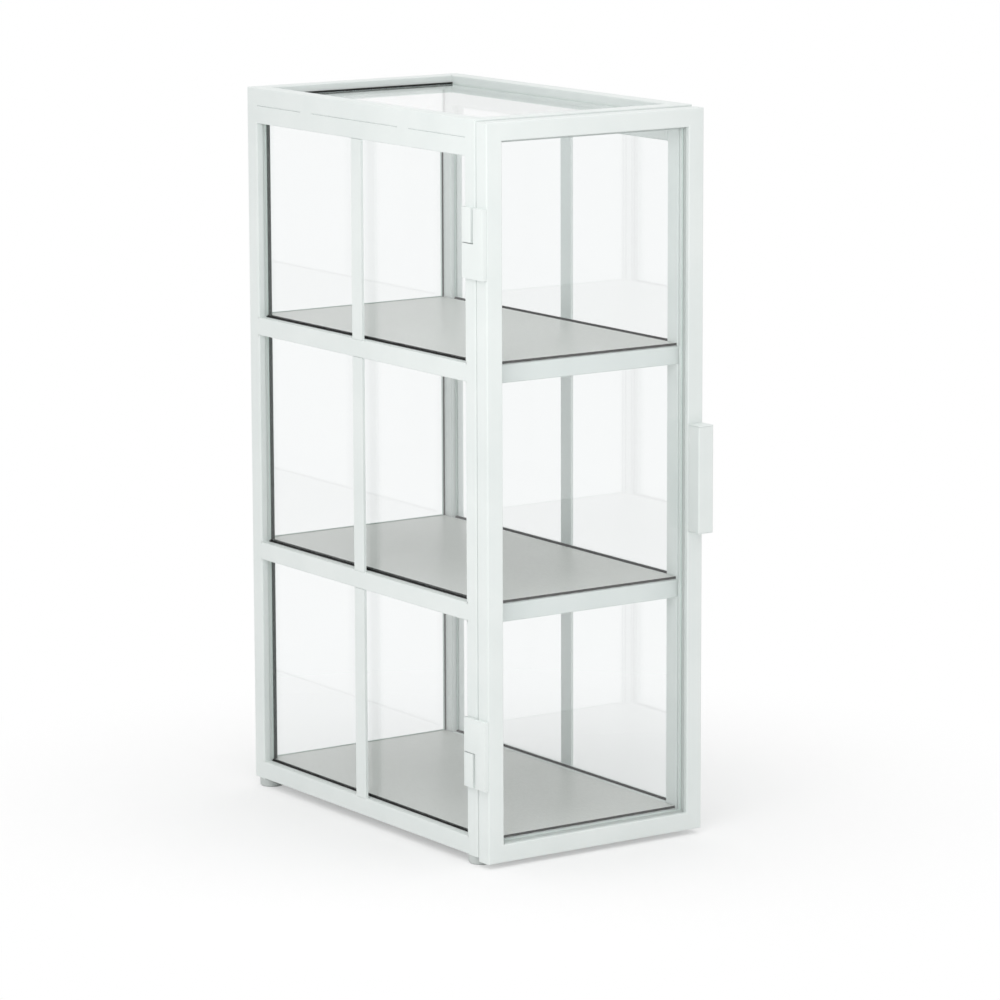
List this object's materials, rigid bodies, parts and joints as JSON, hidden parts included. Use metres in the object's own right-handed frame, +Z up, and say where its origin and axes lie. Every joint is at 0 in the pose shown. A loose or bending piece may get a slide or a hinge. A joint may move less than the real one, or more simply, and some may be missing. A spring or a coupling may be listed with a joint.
{
  "type": "bread display case",
  "caption": "Free-standing countertop display case: square-tube frame with glazed sides, back and top, stacked shelves and a side-hung glass door with a pull.",
  "frame": {"origin": "on the surface that the case stands on, under the middle of its whole width and depth, door handle and hinges included", "axes": "+Z up, +Y from the door to the back, +X from the hinge side to the handle side"},
  "size_m": [0.29, 0.5016, 0.81],
  "materials": {
    "frame_paint": "semi-matt cool white powder coat on steel",
    "shelf_board": "satin grey laminate face, black core at the edges",
    "pane_glass": "clear float glass",
    "glazing_tape": "matt black foam tape",
    "clear_sealant": "clear silicone, slightly cloudy",
    "pin_steel": "zinc-plated steel",
    "magnet_plate": "nickel-plated magnet",
    "foot_rubber": "light grey moulded rubber, slightly cloudy",
    "bumper_rubber": "clear soft bumper"
  },
  "bodies": {
    "case": {"post_front_left": "frame_paint", "post_front_right": "frame_paint", "post_back_left": "frame_paint", "post_back_right": "frame_paint", "side_rail_left_bottom": "frame_paint", "side_rail_left_lower": "frame_paint", "side_rail_left_upper": "frame_paint", "header_rail_left": "frame_paint", "side_rail_right_bottom": "frame_paint", "side_rail_right_lower": "frame_paint", "side_rail_right_upper": "frame_paint", "header_rail_right": "frame_paint", "top_tube_left": "frame_paint", "top_tube_right": "frame_paint", "top_tube_front": "frame_paint", "top_tube_back": "frame_paint", "stitch_welds": "frame_paint", "front_bar_bottom": "frame_paint", "front_bar_lower": "frame_paint", "front_bar_upper": "frame_paint", "back_bar_bottom": "frame_paint", "back_bar_lower": "frame_paint", "back_bar_upper": "frame_paint", "mullions_left": "frame_paint", "mullions_right": "frame_paint", "top_glass_ledges": "frame_paint", "hinge_frame_halves": "frame_paint", "foot_plates": "frame_paint", "floor_panel": "shelf_board", "shelf_lower": "shelf_board", "shelf_upper": "shelf_board", "side_glass_left_bottom": "pane_glass", "side_glass_left_middle": "pane_glass", "side_glass_left_top": "pane_glass", "side_glass_right_bottom": "pane_glass", "side_glass_right_middle": "pane_glass", "side_glass_right_top": "pane_glass", "back_glass_bottom": "pane_glass", "back_glass_middle": "pane_glass", "back_glass_top": "pane_glass", "top_glass": "pane_glass", "glazing_tape_left": "glazing_tape", "glazing_tape_right": "glazing_tape", "glazing_tape_back": "glazing_tape", "top_glass_gaskets": "glazing_tape", "hinge_pins": "pin_steel", "feet": "foot_rubber", "foot_screws": "pin_steel", "catch_magnets": "magnet_plate"},
    "door": {"door_stile_hinge": "frame_paint", "door_stile_handle": "frame_paint", "door_rail_top": "frame_paint", "door_rail_bottom": "frame_paint", "handle": "frame_paint", "handle_caps": "frame_paint", "hinge_upper_door_half": "frame_paint", "hinge_lower_door_half": "frame_paint", "door_glass": "pane_glass", "door_glass_sealant": "clear_sealant", "door_bumpers": "bumper_rubber"}
  },
  "joints": [
    {"name": "door_hinge", "type": "hinge", "parent": "case", "child": "door", "pos_m": [-0.14275, -0.19175, 0.41], "axis": [0, 0, -1], "range_deg": [0, 170]}
  ]
}
